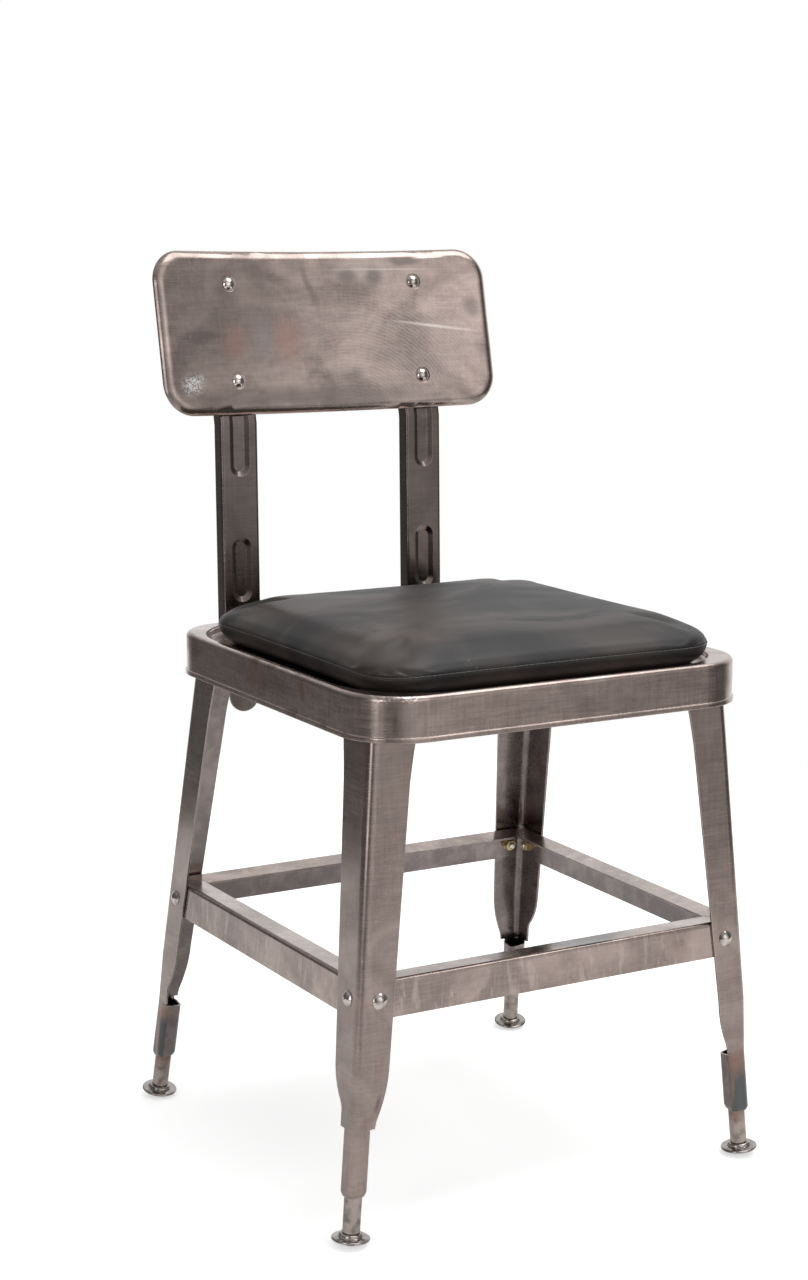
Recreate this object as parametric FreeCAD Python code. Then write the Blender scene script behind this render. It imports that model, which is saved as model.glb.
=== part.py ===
"""Pressed steel bistro chair with a loose black seat pad.

Four pressed angle legs close into square tubes near the floor, where a round stem carries
a screw-in levelling glide.  Angle stretchers are bolted between the legs.  A dished seat
pan sits on the legs, and two channel uprights behind it carry the bowed back panel.

Millimetres, +Z up, the sitter faces -Y.  The origin is on the floor, below the middle of
the whole chair's plan.
"""
import FreeCAD, Part
import os
from math import atan2, cos, degrees, radians, sin, sqrt, tan

V = FreeCAD.Vector

# Seat pan
seat_height = 450.0
seat_width = 374.0
seat_depth = 382.0
seat_corner = 52.0
apron_height = 37.0
pan_gauge = 1.6
rim_band = 9.0
rim_round = 4.0
recess_depth = 7.0
recess_corner = 74.0
recess_round = 2.4
hem_height = 4.0
hem_out = 1.2

# Seat pad: gaps are from the walls of the pan's recess to the pad's widest outline
pad_side_gap = 5.5
pad_front_gap = 6.5
pad_rear_gap = 24.5
pad_thickness = 41.0
pad_corner = 49.0
pad_draw_in = 4.0
pad_side_share = 0.45
pad_foot_inset = 14.0
crown_run = 120.0
pad_clearance = 0.3

# Legs: insets are from the inside of the apron to the leg's outer corner at its top, and
# the middle of each glide stands out from the seat's side and front or rear face
front_inset_x = 13.2
front_inset_y = 24.3
front_splay_x = 4.48
front_splay_y = 3.1
front_foot_out = 8.5
front_foot_ahead = -17.0
front_tube_splay_x = 5.0
front_tube_splay_y = 2.3
rear_inset_x = 5.4
rear_inset_y = 44.7
rear_splay_x = 3.43
rear_splay_y = 9.37
rear_foot_out = 8.2
rear_foot_behind = 12.0
rear_tube_splay_x = 3.43
rear_tube_splay_y = 9.37
leg_gauge = 1.8
leg_bend = 8.0
arm_top = 46.0
arm_upper = 37.5
arm_lower = 30.5
side_arm_extra = 4.0
flare_start = 375.0
spoon_start = 145.0
spoon_end = 20.5
side_spoon_rise = 14.0
spoon_knee = 0.2
tube_side = 18.6
tube_corner = 6.0
tube_top = 97.0
tube_bottom = 42.0
tube_crimp = 3.0
vee_drop = 6.0

# Stem and levelling glide
stem_diameter = 14.6
stem_top = 78.0
dome_radius = 14.6
dome_height = 5.0
disc_diameter = 32.0
collar_diameter = 20.4
base_height = 6.0
stud_diameter = 8.0
thread_clearance = 0.06
thread_engaged = 14.0
glide_travel = 8.0
stem_gap = 0.3

# Stretchers
bolt_height = 202.5
bolt_inset = 19.2
stretcher_web = 31.0
stretcher_flange = 22.0
stretcher_gauge = 2.0
stretcher_bend = 3.5
stretcher_play = 0.05
side_play = 0.35
corner_gap = 0.6
mitre_gap = 1.0
washer_play = 0.15

# Back uprights
upright_spread = 196.6
upright_setback = 25.9
upright_lean = 1.6
back_tilt = 12.6
bend_above_seat = 178.0
upright_width = 38.0
upright_flange = 14.0
upright_gauge = 2.0
upright_bend = 3.0
tongue_width = 30.0
tongue_below_seat = 92.0
shoulder_below_seat = 62.0
upright_top_margin = 18.0
bead_width = 20.0
bead_flat = 11.0
bead_depth = 2.5
upper_bead_low = 129.0
lower_bead_low = 12.0
lower_bead_high = 72.0

# Brackets between the rear apron and the uprights
bracket_width = 33.0
bracket_gauge = 2.0
bracket_top = 6.0
bracket_bottom = 70.0
bracket_bolt_high = 20.0
bracket_bolt_low = 53.0

# Back panel
panel_width = 355.0
panel_height = 154.4
panel_corner = 31.0
panel_gauge = 1.8
panel_bow = 13.0
panel_edge_round = 10.0
panel_edge_depth = 5.4
panel_rise = 83.8
panel_standoff = 7.2
panel_bolt_pitch = 90.3
dimple_diameter = 15.6
dimple_depth = 1.0
dimple_taper = 0.7

# Fasteners
bolt_shank = 6.0
head_diameter = 13.4
head_height = 3.6
back_head_diameter = 12.0
hole_play = 0.2
thread_play = 0.05
washer_diameter = 12.4
washer_gauge = 1.2
nut_flats = 10.0
nut_height = 5.0
thread_end = 2.0
spacer_diameter = 15.0

seat_floor = seat_height - recess_depth
leg_top = seat_floor - pan_gauge
recess_width = seat_width - 2 * rim_band
recess_length = seat_depth - 2 * rim_band
pad_width = recess_width - 2 * pad_side_gap
pad_depth = recess_length - pad_front_gap - pad_rear_gap
stud_length = base_height + glide_travel + thread_engaged


def wire_of(points_and_arcs):
    """Closed wire from a list of points; a tuple (mid, end) draws an arc to end."""
    start = points_and_arcs[0]
    here = start
    edges = []
    for step in points_and_arcs[1:] + [start]:
        if isinstance(step, tuple):
            mid, end = step
            edges.append(Part.Arc(here, mid, end).toShape())
        else:
            end = step
            if here.distanceToPoint(end) < 1e-7:
                continue
            edges.append(Part.LineSegment(here, end).toShape())
        here = end
    return Part.Wire(edges)


def quarter(centre, radius, angle):
    """Middle and end of a quarter arc that starts at angle, in the XY plane."""
    mid = radians(angle + 45)
    end = radians(angle + 90)
    return (centre + V(radius * cos(mid), radius * sin(mid), 0),
            centre + V(radius * cos(end), radius * sin(end), 0))


def rounded_outline(width, depth, corner, z, middle=V(0, 0, 0)):
    """Rounded rectangle, anticlockwise from above."""
    a = width / 2 - corner
    b = depth / 2 - corner
    centres = [V(a, -b, z), V(a, b, z), V(-a, b, z), V(-a, -b, z)]
    path = [middle + centres[0] + V(0, -corner, 0)]
    for count, centre in enumerate(centres):
        start = -90 + 90 * count
        if count:
            first = centre + V(corner * cos(radians(start)), corner * sin(radians(start)), 0)
            path.append(middle + first)
        path.append(quarter(middle + centre, corner, start))
    return wire_of(path)


def rounded_prism(width, depth, corner, bottom, height):
    return Part.Face(rounded_outline(width, depth, corner, bottom)).extrude(V(0, 0, height))


def level_edges(shape, z, keep):
    """Edges that lie at height z and whose ends both satisfy keep(point)."""
    found = []
    for edge in shape.Edges:
        ends = [vertex.Point for vertex in edge.Vertexes]
        if all(abs(p.z - z) < 1e-4 for p in ends) and all(keep(p) for p in ends):
            box = edge.BoundBox
            if box.ZMax - box.ZMin < 1e-3:
                found.append(edge)
    return found


def on_axis(shape, origin, direction):
    """Move a shape built about +Z so that its axis runs through origin along direction."""
    turn = FreeCAD.Rotation(V(0, 0, 1), direction)
    moved = shape.copy()
    moved.Placement = FreeCAD.Placement(origin, turn).multiply(shape.Placement)
    return moved


def lean_about(shape, point, angle):
    """Turn a shape about the X direction through point; a positive angle leans its top back."""
    moved = shape.copy()
    moved.rotate(point, V(1, 0, 0), -angle)
    return moved


def mirrored(shape, flip_x, flip_y=False):
    if flip_x:
        shape = shape.mirror(V(0, 0, 0), V(1, 0, 0))
    if flip_y:
        shape = shape.mirror(V(0, 0, 0), V(0, 1, 0))
    return shape


def seat_pan():
    base = seat_height - apron_height
    skin = rounded_prism(seat_width, seat_depth, seat_corner, base, apron_height)
    skin = skin.makeFillet(rim_round, level_edges(skin, seat_height, lambda p: True))
    hem_width = seat_width + 2 * hem_out
    hem = rounded_prism(hem_width, seat_depth + 2 * hem_out, seat_corner + hem_out,
                        base, hem_height)
    hem_round = min(0.45 * hem_height, 0.9 * hem_out)
    hem = hem.makeFillet(hem_round, level_edges(hem, base + hem_height, lambda p: True))
    inner_round = rim_round - pan_gauge
    hollow = rounded_prism(seat_width - 2 * pan_gauge, seat_depth - 2 * pan_gauge,
                           seat_corner - pan_gauge, base - 1, apron_height + 1 - pan_gauge)
    under_rim = level_edges(hollow, seat_height - pan_gauge, lambda p: True)
    hollow = hollow.makeFillet(inner_round, under_rim)
    tray = rounded_prism(recess_width + 2 * pan_gauge, recess_length + 2 * pan_gauge,
                         recess_corner + pan_gauge, leg_top, recess_depth + pan_gauge + 1)
    pocket = rounded_prism(recess_width, recess_length, recess_corner,
                           seat_floor, recess_depth + 1)
    pocket = pocket.makeFillet(recess_round, level_edges(pocket, seat_floor, lambda p: True))
    pan = skin.fuse(hem).cut(hollow.cut(tray)).cut(pocket)

    def on_recess(p):
        return abs(p.x) < recess_width / 2 + 0.01 and abs(p.y) < recess_length / 2 + 0.01
    return pan.makeFillet(recess_round, level_edges(pan, seat_height, on_recess))


def pad_outline(inset, z):
    """Outline of the pad whose sides draw in between the corners."""
    a = pad_width / 2 - inset
    b = pad_depth / 2 - inset
    r = pad_corner * (1 - 0.6 * inset / crown_run)
    d = pad_draw_in
    corners = [V(a - r, -b + r, z), V(a - r, b - r, z), V(-a + r, b - r, z), V(-a + r, -b + r, z)]
    side_mids = [V(a - d, 0, z), V(0, b - d, z), V(-a + d, 0, z), V(0, -b + d, z)]
    path = [corners[0] + V(0, -r, 0)]
    for count, centre in enumerate(corners):
        path.append(quarter(centre, r, -90 + 90 * count))
        following = corners[(count + 1) % 4]
        start = radians(90 * count)
        path.append((side_mids[count], following + V(r * cos(start), r * sin(start), 0)))
    return wire_of(path)


def seat_cushion():
    """Crowned pad: a rounded foot up to its widest outline, then the crown in even steps."""
    foot = seat_floor + pad_clearance
    widest = foot + pad_side_share * pad_thickness
    crown = foot + pad_thickness - widest
    wires = []
    foot_steps = 5
    for step in range(foot_steps):
        turn = radians(90 * step / foot_steps)
        wires.append(pad_outline(pad_foot_inset * (1 - sin(turn)), widest - (widest - foot) * cos(turn)))
    crown_steps = 9
    for step in range(1, crown_steps + 1):
        share = (step / crown_steps) ** 1.6
        rise = (1 - (1 - share) ** 2) ** (1 / 3)
        wires.append(pad_outline(share * crown_run, widest + rise * crown))
    pad = Part.makeLoft(wires, True, False)
    pad.translate(V(0, (pad_front_gap - pad_rear_gap) / 2, 0))
    return pad


class Leg:
    """Line of a leg's outer corner in the quadrant where x and y are both negative.

    The corner runs straight from the seat down to the start of the spoon, and below the
    spoon along the tube, which is set in a little and leans by itself.
    """

    def __init__(self, inset, splay, foot, tube_splay):
        self.top = [seat_width / 2 - pan_gauge - inset[0], seat_depth / 2 - pan_gauge - inset[1]]
        self.foot = [value + tube_side / 2 for value in foot]
        self.splay_x, self.splay_y = splay
        self.run = [tan(radians(angle)) for angle in splay]
        self.tube_run = [tan(radians(angle)) for angle in tube_splay]
        self.run_x, self.run_y = self.run

    def corner(self, side, z):
        if z >= spoon_start:
            return -(self.top[side] + (leg_top - z) * self.run[side])
        if z <= tube_top:
            return -(self.foot[side] - (z - dome_radius) * self.tube_run[side])
        share = (z - tube_top) / (spoon_start - tube_top)
        return share * self.corner(side, spoon_start) + (1 - share) * self.corner(side, tube_top)

    def x(self, z):
        return self.corner(0, z)

    def y(self, z):
        return self.corner(1, z)

    def centre(self, z):
        """Middle of the tube at height z."""
        return V(self.x(z) + tube_side / 2, self.y(z) + tube_side / 2, z)

    def axis(self):
        """Unit vector up the tube and its stem."""
        direction = V(self.tube_run[0], self.tube_run[1], 1)
        return direction.normalize()


front_leg = Leg((front_inset_x, front_inset_y), (front_splay_x, front_splay_y),
                (seat_width / 2 + front_foot_out, seat_depth / 2 + front_foot_ahead),
                (front_tube_splay_x, front_tube_splay_y))
rear_leg = Leg((rear_inset_x, rear_inset_y), (rear_splay_x, rear_splay_y),
               (seat_width / 2 + rear_foot_out, seat_depth / 2 + rear_foot_behind),
               (rear_tube_splay_x, rear_tube_splay_y))
places = [("front_left", front_leg, False, False), ("front_right", front_leg, True, False),
          ("rear_left", rear_leg, False, True), ("rear_right", rear_leg, True, True)]


def angle_section(leg, z):
    x, y, g = leg.x(z), leg.y(z), leg_gauge
    r = leg_bend if z > tube_top else tube_corner
    reach = arm_top + side_arm_extra + leg_bend
    inner = (r - g) / sqrt(2)
    outer = r / sqrt(2)
    centre = V(x + r, y + r, z)
    return wire_of([V(x + r, y, z), V(x + reach, y, z), V(x + reach, y + g, z),
                    V(x + r, y + g, z),
                    (centre - V(inner, inner, 0), V(x + g, y + r, z)),
                    V(x + g, y + reach, z), V(x, y + reach, z), V(x, y + r, z),
                    (centre - V(outer, outer, 0), V(x + r, y, z))])


def tube_section(leg, z, wall, crimp=0.0):
    side = tube_side - 2 * (wall + crimp)
    return rounded_outline(side, side, tube_corner - wall, z, leg.centre(z) - V(0, 0, z))


def arm_curve(corner, extra, spoon_low, swap):
    """Region beyond a leg arm's free edge; corner(z) is where the arm starts.

    The edge flares out under the seat and draws in to the tube below in a spoon curve,
    full at first and hollow at its end, which is at spoon_low.
    """
    def at(width, z):
        u = corner(z) + width
        return V(0, u, z) if swap else V(u, 0, z)
    flare_mid = (flare_start + leg_top) / 2
    upper, lower = arm_upper + extra, arm_lower + extra
    flare_width = upper + 0.4 * (arm_top - arm_upper)
    spoon_run = spoon_start - spoon_low
    spoon_draw = lower - spoon_end
    knee = at(spoon_end + spoon_knee * spoon_draw, spoon_low + spoon_knee * spoon_run)
    hollow = at(spoon_end + 0.3 * spoon_knee * spoon_draw, spoon_low + spoon_knee * spoon_run / 2)
    full = at(lower - 0.27 * spoon_draw, spoon_low + 0.56 * spoon_run)
    far = 2 * arm_top
    outline = wire_of([at(far, tube_top - 1), at(spoon_end, tube_top - 1),
                       at(spoon_end, spoon_low), (hollow, knee), (full, at(lower, spoon_start)),
                       at(upper, flare_start),
                       (at(flare_width, flare_mid), at(arm_top + extra, leg_top)),
                       at(arm_top + extra, leg_top + 1), at(far, leg_top + 1)])
    return Part.Face(outline)


def leg_blank(leg):
    """Pressed angle that closes into a square tube at its foot."""
    stations = [tube_top, spoon_start, leg_top]
    sheet = Part.makeLoft([angle_section(leg, z) for z in stations], True, True)
    reach = seat_width + seat_depth
    beyond_front = arm_curve(leg.x, 0, tube_top, False).extrude(V(0, -reach, 0))
    beyond_side = arm_curve(leg.y, side_arm_extra, tube_top + side_spoon_rise, True)
    beyond_side = beyond_side.extrude(V(-reach, 0, 0))
    sheet = sheet.cut(beyond_front).cut(beyond_side)
    waist = tube_bottom + tube_crimp
    outer = Part.makeLoft([tube_section(leg, waist, 0), tube_section(leg, tube_top, 0)],
                          True, True)
    lip = Part.makeLoft([tube_section(leg, tube_bottom, 0, leg_gauge / 2),
                         tube_section(leg, waist, 0)], True, True)
    bore = Part.makeLoft([tube_section(leg, tube_bottom, leg_gauge),
                          tube_section(leg, tube_top, leg_gauge)], True, True)
    tube = outer.fuse(lip).cut(bore).cut(vee_cut(leg))
    return sheet.fuse(tube).removeSplitter()


def vee_cut(leg):
    """Wedge that lowers the tube's two inner walls towards their shared corner."""
    corner = V(leg.x(tube_top) + leg_gauge, leg.y(tube_top) + leg_gauge, tube_top)
    span = tube_side
    block = Part.makeBox(span, span, vee_drop + 2, corner - V(0, 0, vee_drop))
    fall = vee_drop / (span * sqrt(2))
    far = 2 * span
    wedge = Part.Face(wire_of([V(0, -far, 0), V(far, -far, -far * fall),
                               V(far, -far, 3), V(0, -far, 3)])).extrude(V(0, 2 * far, 0))
    wedge.rotate(V(0, 0, 0), V(0, 0, 1), 45)
    wedge.translate(corner)
    return block.common(wedge)


def arm_bolt_frames(leg):
    """Outer face point and outward direction of the bolt in each arm of a leg."""
    x, y, z = leg.x(bolt_height), leg.y(bolt_height), bolt_height
    front = (V(x + bolt_inset, y, z), V(0, -1, leg.run_y).normalize())
    side = (V(x, y + bolt_inset, z), V(-1, 0, leg.run_x).normalize())
    return [front, side]


def through_hole(point, outward, depth):
    """Round hole drilled inwards from an outer face point."""
    drill = Part.makeCylinder(bolt_shank / 2 + hole_play, depth + 2, V(0, 0, -depth))
    return on_axis(drill, point, outward)


def pressed_leg(leg):
    body = leg_blank(leg)
    for point, outward in arm_bolt_frames(leg):
        body = body.cut(through_hole(point, outward, 2 * leg_gauge))
    return body


# Stations along a stem's axis, measured up from the centre of the glide's dome
dome_plane = -(dome_radius - dome_height)
base_top = dome_plane + base_height
stem_end = base_top + stem_gap


def foot_centre(leg):
    """Centre of the glide's dome, which touches the floor straight below."""
    return leg.centre(dome_radius)


def stem(leg):
    length = (stem_top - dome_radius) / leg.axis().z - stem_end
    bar = Part.makeCylinder(stem_diameter / 2, length, V(0, 0, stem_end))
    thread = Part.makeCylinder(stud_diameter / 2 + thread_clearance, stud_length + 2,
                               V(0, 0, stem_end - 1))
    return on_axis(bar.cut(thread), foot_centre(leg), leg.axis())


def spun(profile):
    """Solid of revolution about +Z from points and arcs in the XZ plane."""
    return Part.Face(wire_of(profile)).revolve(V(0, 0, 0), V(0, 0, 1), 360)


def glide_base(leg):
    """Chromed disc with a raised collar, pressed on the stud."""
    edge = disc_diameter / 2
    bore = stud_diameter / 2 + thread_clearance
    collar = collar_diameter / 2
    z = dome_plane
    profile = [V(bore, 0, z), V(edge - 1.2, 0, z),
               (V(edge, 0, z + 1.2), V(edge - 1.2, 0, z + 2.4)),
               V(collar + 0.6, 0, z + 2.9), V(collar, 0, z + 3.5),
               (V(collar - 0.4, 0, z + 5.2), V(collar - 2.2, 0, z + base_height)),
               V(bore, 0, z + base_height)]
    return on_axis(spun(profile), foot_centre(leg), leg.axis())


def glide_tip(leg):
    """Hard rubber dome below the disc; its sphere touches the floor at any tilt."""
    rim = sqrt(dome_radius ** 2 - dome_plane ** 2)
    half = (dome_plane - dome_radius) / 2
    bulge = sqrt(dome_radius ** 2 - half ** 2)
    profile = [V(0, 0, dome_plane), V(0, 0, -dome_radius),
               (V(bulge, 0, half), V(rim, 0, dome_plane))]
    return on_axis(spun(profile), foot_centre(leg), leg.axis())


def glide_stud(leg):
    stud = Part.makeCylinder(stud_diameter / 2, stud_length, V(0, 0, dome_plane))
    tip_edge = level_edges(stud, dome_plane + stud_length, lambda p: True)
    return on_axis(stud.makeChamfer(1.0, tip_edge), foot_centre(leg), leg.axis())


def dome_bolt(grip, head=head_diameter):
    """Domed bolt on +Z: the head stands on z = 0 and the shank runs down."""
    r = head / 2
    rim = 0.5
    high = head_height
    chord = high - rim
    curve = (r * r + chord * chord) / (2 * chord)
    lift = high - curve
    mid = V(0.55 * r, 0, lift + sqrt(curve ** 2 - (0.55 * r) ** 2))
    shank = bolt_shank / 2
    end = -(grip + washer_gauge + nut_height + thread_end)
    return spun([V(0, 0, end), V(shank - 0.7, 0, end), V(shank, 0, end + 0.7), V(shank, 0, 0),
                 V(r, 0, 0), V(r, 0, rim), (mid, V(0, 0, high))])


def washer(grip):
    """Flat washer below a joint of the given grip, on the same axis as its bolt."""
    top = -grip
    ring = Part.makeCylinder(washer_diameter / 2, washer_gauge, V(0, 0, top - washer_gauge))
    return ring.cut(Part.makeCylinder(bolt_shank / 2 + hole_play, washer_gauge + 2,
                                      V(0, 0, top - washer_gauge - 1)))


def nut(grip):
    """Hexagon nut below the washer, its corners turned off at 30 degrees."""
    top = -grip - washer_gauge
    corner = nut_flats / sqrt(3)
    ring = [V(corner * cos(radians(a)), corner * sin(radians(a)), top - nut_height)
            for a in range(0, 360, 60)]
    block = Part.Face(wire_of(ring)).extrude(V(0, 0, nut_height))
    cut = 0.8
    flat = nut_flats / 2 - 0.2
    low = top - nut_height
    turned = spun([V(0, 0, low), V(flat, 0, low), V(flat + cut * sqrt(3), 0, low + cut),
                   V(flat + cut * sqrt(3), 0, top - cut), V(flat, 0, top), V(0, 0, top)])
    bore = Part.makeCylinder(bolt_shank / 2 + thread_play, nut_height + 2, V(0, 0, low - 1))
    return block.common(turned).cut(bore)


def angle_bar(length):
    """Angle along X: the web's outer face on y = 0 and the flange on top, pointing to +y."""
    g, r = stretcher_gauge, stretcher_bend
    low, high, deep = -stretcher_web / 2, stretcher_web / 2, stretcher_flange
    x = -length / 2
    outer = r / sqrt(2)
    inner = (r - g) / sqrt(2)
    centre = V(x, r, high - r)
    profile = wire_of([V(x, 0, low), V(x, g, low), V(x, g, high - r),
                       (centre + V(0, -inner, inner), V(x, r, high - g)),
                       V(x, deep, high - g), V(x, deep, high), V(x, r, high),
                       (centre + V(0, -outer, outer), V(x, 0, high - r))])
    return Part.Face(profile).extrude(V(length, 0, 0))


def trimmed(bar, outline):
    """Keep the part of a bar that lies within a plan outline."""
    return bar.common(Part.Face(wire_of(outline)).extrude(V(0, 0, 2 * bolt_height)))


# Height of the stretchers' tops, where they come nearest to the corners of the legs
stretcher_top = bolt_height + stretcher_web / 2
bar_start = leg_bend + corner_gap
bar_deep = stretcher_flange + 3 * stretcher_gauge


def cross_stretcher(leg):
    """Stretcher between the two legs of a pair, built in front and facing -Y."""
    face = leg.y(bolt_height) + leg_gauge + stretcher_play
    bar = angle_bar(-2 * leg.x(bolt_height))
    bar.translate(V(0, face, bolt_height))
    bar = lean_about(bar, V(0, face, bolt_height), leg.splay_y)
    left, front = leg.x(stretcher_top), leg.y(stretcher_top)
    end = left + bar_start
    mitre = front + bar_start - mitre_gap
    near, far = face - bar_start, face + bar_deep
    inset = far - mitre
    bar = trimmed(bar, [V(end, near, 0), V(-end, near, 0), V(-end, mitre, 0),
                        V(-end - inset, far, 0), V(end + inset, far, 0), V(end, mitre, 0)])
    point, outward = arm_bolt_frames(leg)[0]
    hole = through_hole(point, outward, 2 * (leg_gauge + stretcher_gauge))
    return bar.cut(hole).cut(mirrored(hole, True))


def side_stretcher():
    """Stretcher from the front left leg to the rear left leg, facing -X."""
    front_face = front_leg.x(bolt_height) + leg_gauge + side_play
    rear_face = rear_leg.x(bolt_height) + leg_gauge + side_play
    front_y = front_leg.y(bolt_height) + bolt_inset
    rear_y = -rear_leg.y(bolt_height) - bolt_inset
    middle = V((front_face + rear_face) / 2, (front_y + rear_y) / 2, bolt_height)
    bar = angle_bar(rear_y - front_y + 2 * bolt_inset)
    bar = lean_about(bar, V(0, 0, 0), (front_leg.splay_x + rear_leg.splay_x) / 2)
    yaw = degrees(atan2(front_face - rear_face, rear_y - front_y))
    bar.rotate(V(0, 0, 0), V(0, 0, 1), yaw - 90)
    bar.translate(middle)
    near = min(front_face, rear_face) - bar_start
    far = max(front_face, rear_face) + bar_deep
    front_end = front_leg.y(stretcher_top) + bar_start
    rear_end = -rear_leg.y(stretcher_top) - bar_start
    front_mitre = front_leg.x(stretcher_top) + bar_start - mitre_gap
    rear_mitre = rear_leg.x(stretcher_top) + bar_start - mitre_gap
    bar = trimmed(bar, [V(near, front_end, 0), V(front_mitre, front_end, 0),
                        V(far, front_end + far - front_mitre, 0),
                        V(far, rear_end - far + rear_mitre, 0),
                        V(rear_mitre, rear_end, 0), V(near, rear_end, 0)])
    depth = 2 * (leg_gauge + stretcher_gauge)
    for leg, flip in [(front_leg, False), (rear_leg, True)]:
        point, outward = arm_bolt_frames(leg)[1]
        bar = bar.cut(mirrored(through_hole(point, outward, depth), False, flip))
    return bar


def stretcher_fasteners(piece):
    """The eight bolts, washers or nuts at the ends of the stretchers."""
    solids = []
    for name, leg, flip_x, flip_y in places:
        front, side = arm_bolt_frames(leg)
        front_grip = (leg_gauge + stretcher_play) * cos(radians(leg.splay_y))
        side_grip = (leg_gauge + side_play) * cos(radians(leg.splay_x))
        for frame, leg_grip in [(front, front_grip), (side, side_grip)]:
            solid = piece(leg_grip + stretcher_gauge + washer_play)
            solids.append(mirrored(on_axis(solid, *frame), flip_x, flip_y))
    return Part.makeCompound(solids)


# Back frame: the strip of each upright bends at one line behind the panel's lower edge
lean_run = tan(radians(upright_lean))
bend_point = V(0, seat_depth / 2 + upright_setback + bend_above_seat * lean_run,
               seat_height + bend_above_seat)
lower_scale = 1 / cos(radians(upright_lean))
panel_half_pitch = panel_bolt_pitch / 2


def down_strip(above_seat):
    """Distance along the lower strip from its bend, negative downwards."""
    return (above_seat - bend_above_seat) * lower_scale


def set_lower(shape):
    """Place what was built on the plane y = 0 on the lower strip of an upright."""
    moved = lean_about(shape, V(0, 0, 0), upright_lean)
    moved.translate(bend_point)
    return moved


def set_upper(shape):
    moved = lean_about(shape, V(0, 0, 0), back_tilt)
    moved.translate(bend_point)
    return moved


def set_panel(shape):
    """Place what was built about the panel's middle; y = 0 is its face at the bolts."""
    moved = shape.copy()
    moved.translate(V(0, -panel_standoff, panel_rise))
    return set_upper(moved)


def at_bolts(shape, pitch_z=panel_half_pitch):
    """Copies of a shape at the four bolts of the panel."""
    copies = []
    for x in (-upright_spread / 2, upright_spread / 2):
        for z in (-pitch_z, pitch_z):
            copy = shape.copy()
            copy.translate(V(x, 0, z))
            copies.append(copy)
    return copies


def channel(low, high):
    """Channel along Z that opens to the rear, its web on y = 0."""
    w, g, r, f = upright_width / 2, upright_gauge, upright_bend, upright_flange
    inner = (r - g) / sqrt(2)
    outer = r / sqrt(2)
    left, right = V(-w + r, r, low), V(w - r, r, low)
    profile = [V(-w, f, low), V(-w, r, low),
               (left - V(outer, outer, 0), V(-w + r, 0, low)), V(w - r, 0, low),
               (right + V(outer, -outer, 0), V(w, r, low)), V(w, f, low),
               V(w - g, f, low), V(w - g, r, low),
               (right + V(inner, -inner, 0), V(w - r, g, low)), V(-w + r, g, low),
               (left - V(inner, inner, 0), V(-w + g, r, low)), V(-w + g, f, low)]
    return Part.Face(wire_of(profile)).extrude(V(0, 0, high - low))


def flange_taper(end, direction):
    """Wedge that runs both flanges down to the bend at an end of the channel."""
    f, r = upright_flange, upright_bend
    run = 1.6 * f
    x = upright_width
    profile = [V(-x, r, end - direction), V(-x, f + 1, end - direction),
               V(-x, f + 1, end + direction * run), V(-x, r, end)]
    return Part.Face(wire_of(profile)).extrude(V(2 * x, 0, 0))


def slot_wire(half_width, low, high, y):
    """Slot with round ends on a plane of constant y; low and high are its tips."""
    r = half_width
    c = r / sqrt(2)
    top, bottom = V(0, y, high - r), V(0, y, low + r)
    return wire_of([V(-r, y, low + r),
                    (bottom + V(-c, 0, -c), V(0, y, low)), (bottom + V(c, 0, -c), V(r, y, low + r)),
                    V(r, y, high - r),
                    (top + V(c, 0, c), V(0, y, high)), (top + V(-c, 0, c), V(-r, y, high - r))])


def bead(low, high, rear):
    """Pressed groove: the hollow, or with rear the outside of the metal round it."""
    slope = (bead_width - bead_flat) / 2 / bead_depth
    start, end = -0.5, bead_depth
    grow = 0.0
    if rear:
        start, end = upright_gauge / 2, bead_depth + upright_gauge
        grow = 0.4 * upright_gauge
    wires = []
    for y in (start, end):
        depth = y - (upright_gauge if rear else 0)
        shrink = slope * depth
        half = bead_width / 2 + grow - shrink
        wires.append(slot_wire(half, low + shrink - grow, high - shrink + grow, y))
    return Part.makeLoft(wires, True, True)


def tongue():
    """Flat round end of the upright, below the flanges."""
    r = tongue_width / 2
    low = down_strip(-tongue_below_seat) + r
    high = down_strip(-shoulder_below_seat) + upright_bend
    c = r / sqrt(2)
    outline = wire_of([V(-r, 0, high), V(-r, 0, low), (V(-c, 0, low - c), V(0, 0, low - r)),
                       (V(c, 0, low - c), V(r, 0, low)), V(r, 0, high)])
    return Part.Face(outline).extrude(V(0, upright_gauge, 0))


def bracket_bolt_frames():
    """Web front point and outward direction of the bolts between bracket and upright."""
    frames = []
    for below in (bracket_bolt_high, bracket_bolt_low):
        origin = set_lower(Part.Vertex(0, upright_gauge, down_strip(-below))).Point
        outward = V(0, cos(radians(upright_lean)), -sin(radians(upright_lean)))
        frames.append((origin, outward))
    return frames


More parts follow.
